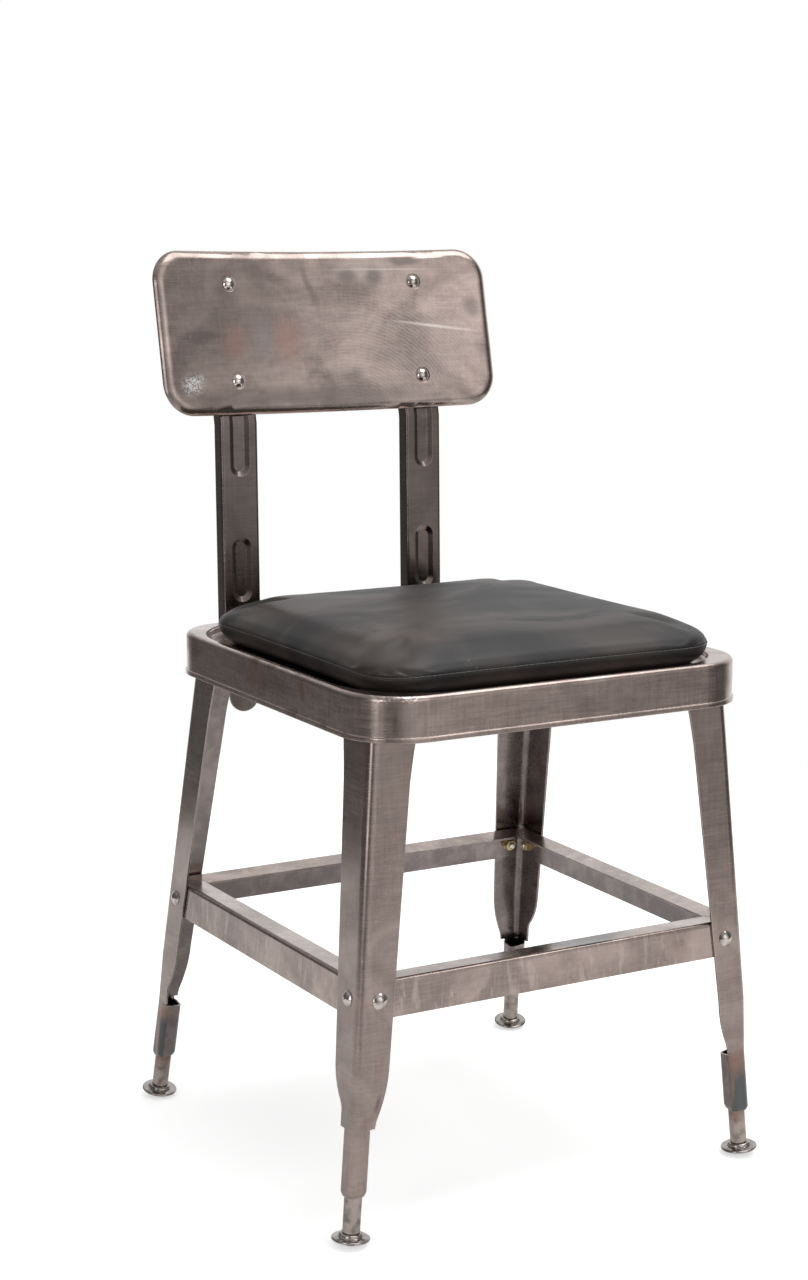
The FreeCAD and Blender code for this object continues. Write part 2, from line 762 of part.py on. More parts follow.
def back_upright():
    low = down_strip(-shoulder_below_seat)
    high = panel_rise + panel_half_pitch + upright_top_margin
    reach = upright_flange
    below, above = half_spaces()
    lower = channel(low, reach).cut(flange_taper(low, 1)).fuse(tongue())
    upper = channel(-reach, high).cut(flange_taper(high, -1))
    upper_bead = (down_strip(upper_bead_low), down_strip(bend_above_seat) + bead_width)
    run_on = (-bead_width, panel_rise - panel_half_pitch - bead_width / 2)
    lower_bead = (down_strip(lower_bead_low), down_strip(lower_bead_high))
    strip = set_lower(lower).common(below).fuse(set_upper(upper).common(above))
    for rear in (True, False):
        tools = [set_lower(bead(*lower_bead, rear)),
                 set_lower(bead(*upper_bead, rear)).common(below),
                 set_upper(bead(*run_on, rear)).common(above)]
        for tool in tools:
            strip = strip.fuse(tool) if rear else strip.cut(tool)
    for drill in at_bolts(Part.makeCylinder(bolt_shank / 2 + hole_play, 4 * reach,
                                            V(0, -reach, 0), V(0, 1, 0))):
        drill.translate(V(-drill.BoundBox.Center.x, 0, 0))
        strip = strip.cut(set_panel(drill))
    for point, outward in bracket_bolt_frames():
        strip = strip.cut(through_hole(point, outward, 2 * upright_gauge))
    return strip.removeSplitter()


def half_spaces():
    """Boxes below and above the mitre plane of the bend."""
    size = 2 * seat_width
    corner = V(-size / 2, bend_point.y - size / 2, bend_point.z)
    mitre = (upright_lean + back_tilt) / 2
    above = Part.makeBox(size, size, size, corner)
    below = Part.makeBox(size, size, size, corner - V(0, 0, size))
    return lean_about(below, bend_point, mitre), lean_about(above, bend_point, mitre)


def upright_bracket():
    """Folded bracket, welded on the rear apron, that holds an upright clear of the seat."""
    rear = seat_depth / 2
    apron_bottom = seat_height - apron_height
    hem_top = apron_bottom + hem_height + corner_gap
    high, low = seat_height - bracket_top, seat_height - bracket_bottom

    def web(z):
        return rear + upright_setback + (z - seat_height) * lean_run - stretcher_play
    lip = 0.27 * bracket_width
    step = rear + hem_out + corner_gap
    x = -bracket_width / 2
    outline = [V(x, rear, high), V(x, web(high), high), V(x, web(low), low),
               V(x, web(low) - lip, low), V(x, step, hem_top), V(x, rear, hem_top)]
    block = Part.Face(wire_of(outline)).extrude(V(bracket_width, 0, 0))
    g = bracket_gauge
    above, under = high + g, low - g
    room = [V(x + g, rear - g, above), V(x + g, web(above) - g, above),
            V(x + g, web(under) - g, under), V(x + g, rear - g, under)]
    body = block.cut(Part.Face(wire_of(room)).extrude(V(bracket_width - 2 * g, 0, 0)))
    for point, outward in bracket_bolt_frames():
        body = body.cut(through_hole(point, outward, 3 * upright_gauge))
    return body


def bracket_fasteners(piece):
    """Bolts, washers or nuts of both brackets; the heads are behind the uprights."""
    solids = []
    grip = upright_gauge + stretcher_play + bracket_gauge + washer_play
    for x in (-upright_spread / 2, upright_spread / 2):
        for point, outward in bracket_bolt_frames():
            solids.append(on_axis(piece(grip), point + V(x, 0, 0), outward))
    return Part.makeCompound(solids)


# Radius of the panel's face, from its bow over its width
bow_radius = (panel_width ** 2 / 4 + panel_bow ** 2) / (2 * panel_bow)


def bow_y(x, depth=0.0):
    """Depth of the bowed face at x, zero at the bolts; the ends come forward."""
    at_bolt = sqrt(bow_radius ** 2 - upright_spread ** 2 / 4)
    radius = bow_radius + depth
    return sqrt(radius ** 2 - x ** 2) - at_bolt


def bowed_slab(front, rear):
    """Tall bowed sheet between two depths behind the face."""
    x = panel_width
    z = -panel_height
    outline = wire_of([V(-x, bow_y(-x, front), z),
                       (V(0, bow_y(0, front), z), V(x, bow_y(x, front), z)),
                       V(x, bow_y(x, rear), z),
                       (V(0, bow_y(0, rear), z), V(-x, bow_y(-x, rear), z))])
    return Part.Face(outline).extrude(V(0, 0, 2 * panel_height))


def dished_block(offset):
    """Bowed block with rounded corners and a rounded front edge, inset by offset."""
    width, height = panel_width - 2 * offset, panel_height - 2 * offset
    deep = 4 * panel_edge_round
    plan = rounded_prism(width, height, panel_corner - offset, -deep, 2 * deep)
    plan.rotate(V(0, 0, 0), V(1, 0, 0), 90)
    block = bowed_slab(offset, 2 * panel_edge_round).common(plan)
    edges = []
    for edge in block.Edges:
        points = [vertex.Point for vertex in edge.Vertexes]
        if all(abs(p.y - bow_y(p.x, offset)) < 1e-3 for p in points):
            edges.append(edge)
    return block.makeFillet(panel_edge_round - offset, edges)


def cone_at_face(radius, low, high):
    """Slightly tapered plug along Y, wider at low."""
    return Part.makeCone(radius, radius - dimple_taper, high - low, V(0, low, 0), V(0, 1, 0))


def back_panel():
    outer = dished_block(0).common(bowed_slab(-1, panel_edge_depth))
    panel = outer.cut(dished_block(panel_gauge))
    r = dimple_diameter / 2
    for boss in at_bolts(cone_at_face(r + panel_gauge, panel_gauge / 2,
                                      dimple_depth + panel_gauge)):
        panel = panel.fuse(boss)
    for hollow in at_bolts(cone_at_face(r, -1, dimple_depth)):
        panel = panel.cut(hollow)
    drill = Part.makeCylinder(bolt_shank / 2 + hole_play, 4 * panel_gauge, V(0, 0, 0), V(0, 1, 0))
    for hole in at_bolts(drill):
        panel = panel.cut(hole)
    return set_panel(panel.removeSplitter())


def back_spacers():
    start = dimple_depth + panel_gauge
    length = panel_standoff - start - stretcher_play
    ring = Part.makeCylinder(spacer_diameter / 2, length, V(0, start, 0), V(0, 1, 0))
    ring = ring.cut(Part.makeCylinder(bolt_shank / 2 + hole_play, 2 * length,
                                      V(0, start - length / 2, 0), V(0, 1, 0)))
    return Part.makeCompound([set_panel(copy) for copy in at_bolts(ring)])


def back_fasteners(piece):
    """Bolts, washers or nuts of the panel; the heads sit in its dimples."""
    grip = panel_standoff - dimple_depth + upright_gauge + washer_play
    solid = on_axis(piece(grip), V(0, dimple_depth, 0), V(0, -1, 0))
    return Part.makeCompound([set_panel(copy) for copy in at_bolts(solid)])


def both_sides(shape):
    """A back piece built on the middle plane, moved to the left and to the right."""
    left, right = shape.copy(), shape.copy()
    left.translate(V(-upright_spread / 2, 0, 0))
    right.translate(V(upright_spread / 2, 0, 0))
    return left, right


def back_head(grip):
    return dome_bolt(grip, back_head_diameter)


def make_parts():
    parts = {"seat_pan": seat_pan(), "seat_cushion": seat_cushion()}
    for name, leg, flip_x, flip_y in places:
        pieces = {"leg": pressed_leg, "stem": stem, "glide_base": glide_base,
                  "glide_tip": glide_tip, "glide_stud": glide_stud}
        for kind, build in pieces.items():
            parts[kind + "_" + name] = mirrored(build(leg), flip_x, flip_y)
    parts["stretcher_front"] = cross_stretcher(front_leg)
    parts["stretcher_rear"] = mirrored(cross_stretcher(rear_leg), False, True)
    parts["stretcher_left"] = side_stretcher()
    parts["stretcher_right"] = mirrored(parts["stretcher_left"], True)
    parts["stretcher_bolts"] = stretcher_fasteners(dome_bolt)
    parts["stretcher_washers"] = stretcher_fasteners(washer)
    parts["stretcher_nuts"] = stretcher_fasteners(nut)
    parts["back_upright_left"], parts["back_upright_right"] = both_sides(back_upright())
    parts["upright_bracket_left"], parts["upright_bracket_right"] = both_sides(upright_bracket())
    parts["bracket_bolts"] = bracket_fasteners(dome_bolt)
    parts["bracket_washers"] = bracket_fasteners(washer)
    parts["bracket_nuts"] = bracket_fasteners(nut)
    parts["back_panel"] = back_panel()
    parts["back_spacers"] = back_spacers()
    parts["back_bolts"] = back_fasteners(back_head)
    parts["back_washers"] = back_fasteners(washer)
    parts["back_nuts"] = back_fasteners(nut)
    return parts


def middle_of_depth(parts):
    """Y at the middle of the whole chair's depth."""
    boxes = [shape.optimalBoundingBox(False, False) for shape in parts.values()]
    return (min(box.YMin for box in boxes) + max(box.YMax for box in boxes)) / 2


chair = make_parts()
shift = V(0, -middle_of_depth(chair), 0)
os.makedirs("parts", exist_ok=True)
for node, shape in chair.items():
    shape.translate(shift)
    shape.exportStep("parts/" + node + ".step")
print("moved along Y by", round(shift.y, 4))
for name, leg, flip_x, flip_y in places:
    down = mirrored(Part.Vertex(-leg.axis()), flip_x, flip_y).Point
    print(name, "glide axis", [round(value, 6) for value in down])
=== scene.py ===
from math import cos, pi, radians, sin
import bmesh
import bpy
from mathutils import Matrix, Vector, noise


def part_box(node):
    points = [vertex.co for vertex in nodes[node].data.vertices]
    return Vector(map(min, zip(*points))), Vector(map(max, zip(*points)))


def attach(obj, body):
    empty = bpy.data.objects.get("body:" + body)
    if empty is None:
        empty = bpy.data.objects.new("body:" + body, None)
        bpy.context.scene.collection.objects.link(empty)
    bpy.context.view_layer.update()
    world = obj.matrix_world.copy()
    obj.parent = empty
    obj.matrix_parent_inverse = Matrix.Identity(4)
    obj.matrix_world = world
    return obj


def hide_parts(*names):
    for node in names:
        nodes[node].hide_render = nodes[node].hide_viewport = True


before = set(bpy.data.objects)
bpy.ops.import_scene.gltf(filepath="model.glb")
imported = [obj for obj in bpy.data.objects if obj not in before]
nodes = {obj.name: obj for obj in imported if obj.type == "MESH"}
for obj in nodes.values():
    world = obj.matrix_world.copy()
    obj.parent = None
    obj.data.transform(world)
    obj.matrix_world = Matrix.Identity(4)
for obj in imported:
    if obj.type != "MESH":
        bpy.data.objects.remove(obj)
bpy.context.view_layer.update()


# Seat pan: one pressed steel sheet, ground with a flap disc and sealed under clear lacquer.
# The disc leaves cloudy swirls and fine strokes, the edges are painted paler, partly as rubbed metal
# and partly as a painted highlight, and the left apron carries brown stains and a ground weld at the front
# left corner.
def add(tree, kind, **settings):
    node = tree.nodes.new("ShaderNode" + kind)
    for key, value in settings.items():
        setattr(node, key, value)
    return node


def plug(tree, socket, value):
    if isinstance(value, tuple):
        socket.default_value = value if len(value) == len(socket.default_value) else (*value, 1.0)
    elif isinstance(value, (int, float)):
        socket.default_value = value
    else:
        tree.links.new(value, socket)


def new_group(name, inputs, outputs):
    group = bpy.data.node_groups.new(name, "ShaderNodeTree")
    for label, kind, value in inputs:
        socket = group.interface.new_socket(label, in_out="INPUT", socket_type=kind)
        if value is not None:
            socket.default_value = value
    for label, kind in outputs:
        group.interface.new_socket(label, in_out="OUTPUT", socket_type=kind)
    return group, group.nodes.new("NodeGroupInput"), group.nodes.new("NodeGroupOutput")


def noise_of(tree, vector, scale, detail=3.0, rough=0.5, distortion=0.0):
    node = add(tree, "TexNoise")
    plug(tree, node.inputs["Vector"], vector)
    plug(tree, node.inputs["Scale"], scale)
    plug(tree, node.inputs["Detail"], detail)
    plug(tree, node.inputs["Roughness"], rough)
    plug(tree, node.inputs["Distortion"], distortion)
    return node.outputs["Fac"]


def between(tree, value, low, high, to_low=0.0, to_high=1.0):
    node = add(tree, "MapRange", interpolation_type="SMOOTHSTEP")
    for label, given in (("Value", value), ("From Min", low), ("From Max", high),
                         ("To Min", to_low), ("To Max", to_high)):
        plug(tree, node.inputs[label], given)
    return node.outputs["Result"]


def maths(tree, operation, first, second):
    node = add(tree, "Math", operation=operation)
    plug(tree, node.inputs[0], first)
    plug(tree, node.inputs[1], second)
    return node.outputs["Value"]


def mixed(tree, factor, first, second):
    node = add(tree, "Mix", data_type="RGBA")
    plug(tree, node.inputs[0], factor)
    plug(tree, node.inputs[6], first)
    plug(tree, node.inputs[7], second)
    return node.outputs[2]


def stretched(tree, vector, scale, turn=(0.0, 0.0, 0.0)):
    node = add(tree, "Mapping")
    plug(tree, node.inputs["Vector"], vector)
    plug(tree, node.inputs["Scale"], scale)
    plug(tree, node.inputs["Rotation"], turn)
    return node.outputs["Vector"]


def patch(tree, vector, centre, size, lean=0.0, soft=0.75):
    """Mask that is 1 in the middle of an egg-shaped place on the chair and 0 outside it."""
    node = add(tree, "Mapping", vector_type="TEXTURE")
    plug(tree, node.inputs["Vector"], vector)
    plug(tree, node.inputs["Location"], centre)
    plug(tree, node.inputs["Rotation"], (0.0, lean, 0.0))
    plug(tree, node.inputs["Scale"], size)
    reach = add(tree, "VectorMath", operation="LENGTH")
    tree.links.new(node.outputs["Vector"], reach.inputs[0])
    return between(tree, reach.outputs["Value"], 1.0, 1.0 - soft)


def placed(tree, waver=0.0):
    """Place on the chair at rest, in metres; waver makes the outlines of patches uneven."""
    place = add(tree, "TexCoord").outputs["Object"]
    if waver == 0.0:
        return place
    stir = add(tree, "TexNoise")
    plug(tree, stir.inputs["Vector"], place)
    plug(tree, stir.inputs["Scale"], 30.0)
    centred = add(tree, "VectorMath", operation="SUBTRACT")
    tree.links.new(stir.outputs["Color"], centred.inputs[0])
    centred.inputs[1].default_value = (0.5, 0.5, 0.5)
    scaled = add(tree, "VectorMath", operation="SCALE")
    tree.links.new(centred.outputs["Vector"], scaled.inputs[0])
    scaled.inputs["Scale"].default_value = waver
    moved = add(tree, "VectorMath", operation="ADD")
    tree.links.new(place, moved.inputs[0])
    tree.links.new(scaled.outputs["Vector"], moved.inputs[1])
    return moved.outputs["Vector"]


def ground_steel_group():
    group, entry, leave = new_group(
        "ground_steel",
        [("Tone", "NodeSocketFloat", 1.0), ("Stain", "NodeSocketFloat", 0.5),
         ("Cloud", "NodeSocketFloat", 1.0)],
        [("Color", "NodeSocketColor"), ("Roughness", "NodeSocketFloat"), ("Height", "NodeSocketFloat")])
    place = placed(group)
    clouds = noise_of(group, place, 13.0, 4.0, 0.55, 1.4)
    swirl = add(group, "TexWave", wave_type="RINGS", rings_direction="SPHERICAL")
    for label, value in (("Scale", 15.0), ("Distortion", 9.0), ("Detail", 3.0), ("Detail Scale", 2.2)):
        swirl.inputs[label].default_value = value
    group.links.new(place, swirl.inputs["Vector"])
    strokes = noise_of(group, stretched(group, place, (30.0, 30.0, 520.0), (0.25, 0.35, 0.2)), 1.0, 4.0, 0.65)
    cross = noise_of(group, stretched(group, place, (420.0, 420.0, 26.0), (0.1, -0.2, 0.5)), 1.0, 3.0, 0.6)
    grain = maths(group, "ADD", maths(group, "MULTIPLY", strokes, 0.6), maths(group, "MULTIPLY", cross, 0.4))
    lift = maths(group, "MULTIPLY", between(group, clouds, 0.32, 0.68, -0.29, 0.29), entry.outputs["Cloud"])
    swirled = maths(group, "MULTIPLY", swirl.outputs["Fac"], entry.outputs["Cloud"])
    lift = maths(group, "ADD", maths(group, "ADD", lift, 0.31), maths(group, "MULTIPLY", swirled, 0.12))
    lift = maths(group, "ADD", lift, maths(group, "MULTIPLY", between(group, grain, 0.3, 0.7), 0.26))
    ramp = add(group, "ValToRGB")
    ramp.color_ramp.elements[0].color = (0.170, 0.134, 0.122, 1)
    ramp.color_ramp.elements[1].color = (0.54, 0.43, 0.388, 1)
    middle = ramp.color_ramp.elements.new(0.5)
    middle.color = (0.345, 0.272, 0.245, 1)
    group.links.new(lift, ramp.inputs["Fac"])
    rust = noise_of(group, place, 19.0, 5.0, 0.6, 0.8)
    rust = maths(group, "MULTIPLY", between(group, rust, 0.50, 0.68), entry.outputs["Stain"])
    stained = mixed(group, rust, ramp.outputs["Color"], (0.155, 0.092, 0.064))
    pits = add(group, "TexVoronoi")
    pits.inputs["Scale"].default_value = 210.0
    group.links.new(place, pits.inputs["Vector"])
    spots = between(group, pits.outputs["Distance"], 0.17, 0.05)
    spots = maths(group, "MULTIPLY", spots, between(group, noise_of(group, place, 46.0, 2.0), 0.60, 0.68))
    pitted = mixed(group, maths(group, "MULTIPLY", spots, 0.75), stained, (0.05, 0.034, 0.028))
    toned = add(group, "VectorMath", operation="SCALE")
    group.links.new(pitted, toned.inputs[0])
    group.links.new(entry.outputs["Tone"], toned.inputs["Scale"])
    group.links.new(toned.outputs["Vector"], leave.inputs["Color"])
    gloss = between(group, clouds, 0.3, 0.7, 0.30, 0.17)
    gloss = maths(group, "ADD", gloss, maths(group, "MULTIPLY", rust, 0.2))
    gloss = maths(group, "ADD", gloss, between(group, grain, 0.3, 0.7, -0.03, 0.05))
    group.links.new(gloss, leave.inputs["Roughness"])
    height = maths(group, "MULTIPLY", grain, 0.5)
    height = maths(group, "SUBTRACT", height, maths(group, "MULTIPLY", spots, 0.6))
    group.links.new(height, leave.inputs["Height"])
    return group


def rubbed_edge_highlight_group():
    """Paler colour on outer edges, partly rubbed metal and partly a painted highlight, and a normal that
    rounds them.
    """
    group, entry, leave = new_group(
        "rubbed_edge_highlight",
        [("Color", "NodeSocketColor", None), ("Amount", "NodeSocketFloat", 0.75)],
        [("Color", "NodeSocketColor"), ("Normal", "NodeSocketVector")])
    round_edge = add(group, "Bevel", samples=4)
    round_edge.inputs["Radius"].default_value = 0.0011
    true = add(group, "NewGeometry")
    dot = add(group, "VectorMath", operation="DOT_PRODUCT")
    group.links.new(round_edge.outputs["Normal"], dot.inputs[0])
    group.links.new(true.outputs["Normal"], dot.inputs[1])
    rim = maths(group, "MULTIPLY", between(group, dot.outputs["Value"], 0.99, 0.80), entry.outputs["Amount"])
    group.links.new(mixed(group, rim, entry.outputs["Color"], (0.66, 0.56, 0.51)), leave.inputs["Color"])
    group.links.new(round_edge.outputs["Normal"], leave.inputs["Normal"])
    return group


ground_steel = ground_steel_group()
rubbed_edge_highlight = rubbed_edge_highlight_group()


def steel(name, tone, stain, marks=None, cloud=1.0):
    """Ground sheet steel under clear lacquer; marks adds one piece's own marks to its colour."""
    material = bpy.data.materials.new(name)
    material.use_nodes = True
    tree = material.node_tree
    shader = tree.nodes["Principled BSDF"]
    look = add(tree, "Group", node_tree=ground_steel)
    look.inputs["Tone"].default_value = tone
    look.inputs["Stain"].default_value = stain
    look.inputs["Cloud"].default_value = cloud
    color = look.outputs["Color"]
    if marks:
        color = marks(tree, color, look)
    # Outer edges painted paler: partly rubbed metal, partly a painted highlight.
    edge_rub_and_highlight = add(tree, "Group", node_tree=rubbed_edge_highlight)
    edge_rub_and_highlight.inputs["Amount"].default_value = 0.75
    tree.links.new(color, edge_rub_and_highlight.inputs["Color"])
    tree.links.new(edge_rub_and_highlight.outputs["Color"], shader.inputs["Base Color"])
    tree.links.new(look.outputs["Roughness"], shader.inputs["Roughness"])
    bump = add(tree, "Bump")
    bump.inputs["Strength"].default_value = 0.12
    bump.inputs["Distance"].default_value = 0.0004
    tree.links.new(look.outputs["Height"], bump.inputs["Height"])
    tree.links.new(edge_rub_and_highlight.outputs["Normal"], bump.inputs["Normal"])
    tree.links.new(bump.outputs["Normal"], shader.inputs["Normal"])
    shader.inputs["Metallic"].default_value = 1.0
    shader.inputs["Coat Weight"].default_value = 0.5
    shader.inputs["Coat Roughness"].default_value = 0.08
    return material


def dress(names, material):
    for name in names:
        piece = nodes[name]
        piece.data.materials.clear()
        piece.data.materials.append(material)
        for face in piece.data.polygons:
            face.use_smooth = True


def pan_marks(tree, color, look):
    place = placed(tree)
    split = add(tree, "SeparateXYZ")
    tree.links.new(place, split.inputs["Vector"])
    left_side = between(tree, split.outputs["X"], -0.172, -0.187)
    tree.links.new(maths(tree, "ADD", maths(tree, "MULTIPLY", left_side, 1.0), 0.15), look.inputs["Stain"])
    wavy = placed(tree, 0.012)
    brown = patch(tree, wavy, (-0.187, -0.04, 0.434), (0.03, 0.075, 0.014))
    color = mixed(tree, maths(tree, "MULTIPLY", brown, 0.55), color, (0.17, 0.10, 0.07))
    brown = patch(tree, wavy, (-0.187, 0.10, 0.438), (0.03, 0.03, 0.010))
    color = mixed(tree, maths(tree, "MULTIPLY", brown, 0.5), color, (0.15, 0.10, 0.08))
    corner = patch(tree, wavy, (-0.150, -0.222, 0.430), (0.016, 0.03, 0.03), 0.0, 0.35)
    color = mixed(tree, maths(tree, "MULTIPLY", corner, 0.45), color, (0.17, 0.135, 0.123))
    seam = patch(tree, place, (-0.1745, -0.209, 0.43), (0.0022, 0.03, 0.05), 0.0, 0.6)
    color = mixed(tree, maths(tree, "MULTIPLY", seam, 0.5), color, (0.62, 0.52, 0.47))
    scuff = maths(tree, "MULTIPLY", patch(tree, wavy, (-0.160, -0.218, 0.4475), (0.028, 0.03, 0.005)),
                  between(tree, noise_of(tree, place, 420.0, 3.0, 0.7), 0.5, 0.6))
    color = mixed(tree, scuff, color, (0.78, 0.70, 0.66))
    dark_end = patch(tree, wavy, (0.150, -0.224, 0.43), (0.007, 0.03, 0.04), 0.0, 0.5)
    return mixed(tree, maths(tree, "MULTIPLY", dark_end, 0.1), color, (0.14, 0.112, 0.103))


dress(["seat_pan"], steel("pan_steel", 1.04, 0.4, pan_marks, 0.7))


# Legs: pressed steel angles, ground outside and left with dark mill scale inside. The tube at
# the foot is closed by a weld, whose heat left a blue-grey band with brown edges on two legs.
corners = ["front_left", "front_right", "rear_left", "rear_right"]


def inside_scale(tree, color, darkness=0.85):
    """Dark mill scale on the faces that look towards the middle of the chair."""
    place = placed(tree)
    flat = add(tree, "VectorMath", operation="MULTIPLY")
    tree.links.new(place, flat.inputs[0])
    flat.inputs[1].default_value = (1.0, 1.0, 0.0)
    outward = add(tree, "VectorMath", operation="NORMALIZE")
    tree.links.new(flat.outputs["Vector"], outward.inputs[0])
    facing = add(tree, "VectorMath", operation="DOT_PRODUCT")
    tree.links.new(outward.outputs["Vector"], facing.inputs[0])
    tree.links.new(add(tree, "NewGeometry").outputs["Normal"], facing.inputs[1])
    inner = between(tree, facing.outputs["Value"], -0.25, -0.5)
    mottled = mixed(tree, between(tree, noise_of(tree, place, 60.0, 4.0, 0.6), 0.4, 0.65),
                    (0.165, 0.140, 0.136), (0.25, 0.210, 0.200))
    return mixed(tree, maths(tree, "MULTIPLY", inner, darkness), color, mottled)


def leg_marks(tree, color, look):
    color = inside_scale(tree, color)
    wavy = placed(tree, 0.010)
    # Painted shade: a dark line in the crease where the angle closes into the foot tube.
    crease_shade = patch(tree, wavy, (-0.176, -0.214, 0.118), (0.003, 0.05, 0.012), 0.3, 0.8)
    return mixed(tree, maths(tree, "MULTIPLY", crease_shade, 0.6), color, (0.09, 0.08, 0.08))


def weld_tint_group():
    group, entry, leave = new_group(
        "weld_tint",
        [("Color", "NodeSocketColor", None), ("Top", "NodeSocketFloat", 0.088),
         ("Fringe", "NodeSocketFloat", 0.02)],
        [("Color", "NodeSocketColor")])
    split = add(group, "SeparateXYZ")
    group.links.new(placed(group, 0.03), split.inputs["Vector"])
    height = split.outputs["Z"]
    top, fringe = entry.outputs["Top"], entry.outputs["Fringe"]
    brown = between(group, height, maths(group, "ADD", top, fringe), top)
    color = mixed(group, maths(group, "MULTIPLY", brown, 0.75), entry.outputs["Color"], (0.19, 0.115, 0.08))
    core = between(group, height, top, maths(group, "SUBTRACT", top, maths(group, "MULTIPLY", fringe, 0.7)))
    streak = noise_of(group, stretched(group, placed(group), (90.0, 90.0, 14.0)), 1.0, 3.0)
    streak = between(group, streak, 0.36, 0.5)
    core = maths(group, "MULTIPLY", core, streak)
    group.links.new(mixed(group, core, color, (0.088, 0.090, 0.092)), leave.inputs["Color"])
    return group


weld_tint = weld_tint_group()


def welded_leg_marks(tree, color, look):
    tint = add(tree, "Group", node_tree=weld_tint)
    tint.inputs["Top"].default_value = 0.086
    tint.inputs["Fringe"].default_value = 0.018
    tree.links.new(color, tint.inputs["Color"])
    return inside_scale(tree, tint.outputs["Color"])


dress(["leg_front_left", "leg_rear_right"], steel("leg_steel", 0.86, 0.2, leg_marks, 0.45))
dress(["leg_front_right", "leg_rear_left"], steel("leg_steel_welded", 0.88, 0.2, welded_leg_marks, 0.45))


# Stretchers: four angles bolted between the legs, web outside and flange on top. The disc left
# slanting pale strokes on their outsides; their insides keep the mottled scale of the strip.
def stretcher_marks(tree, color, look):
    place = placed(tree)
    slant = noise_of(tree, stretched(tree, place, (150.0, 150.0, 34.0), (0.0, 0.85, 0.0)), 1.0, 3.0, 0.6, 0.3)
    pale = maths(tree, "MULTIPLY", between(tree, slant, 0.52, 0.68), 0.4)
    color = mixed(tree, pale, color, (0.58, 0.49, 0.45))
    # Painted reflection: a dark block on the upward faces of the front stretcher's top flange.
    dark_reflection = patch(tree, placed(tree, 0.008), (0.035, -0.19, 0.222), (0.045, 0.03, 0.012), 0.0, 0.25)
    up = add(tree, "SeparateXYZ")
    tree.links.new(add(tree, "NewGeometry").outputs["Normal"], up.inputs["Vector"])
    dark_reflection = maths(tree, "MULTIPLY", dark_reflection, between(tree, up.outputs["Z"], 0.6, 0.9))
    color = mixed(tree, maths(tree, "MULTIPLY", dark_reflection, 0.85), color, (0.075, 0.070, 0.068))
    return inside_scale(tree, color, 0.9)


dress(["stretcher_" + side for side in ("front", "rear", "left", "right")],
      steel("stretcher_steel", 1.02, 0.25, stretcher_marks, 0.6))


# Back uprights and their brackets: pressed channels with recessed beads, given a darker tone
# than the seat. The brackets are folded strip of the same steel.
dress(["back_upright_left", "back_upright_right", "upright_bracket_left", "upright_bracket_right"],
      steel("upright_steel", 0.40, 0.3, None, 0.5))


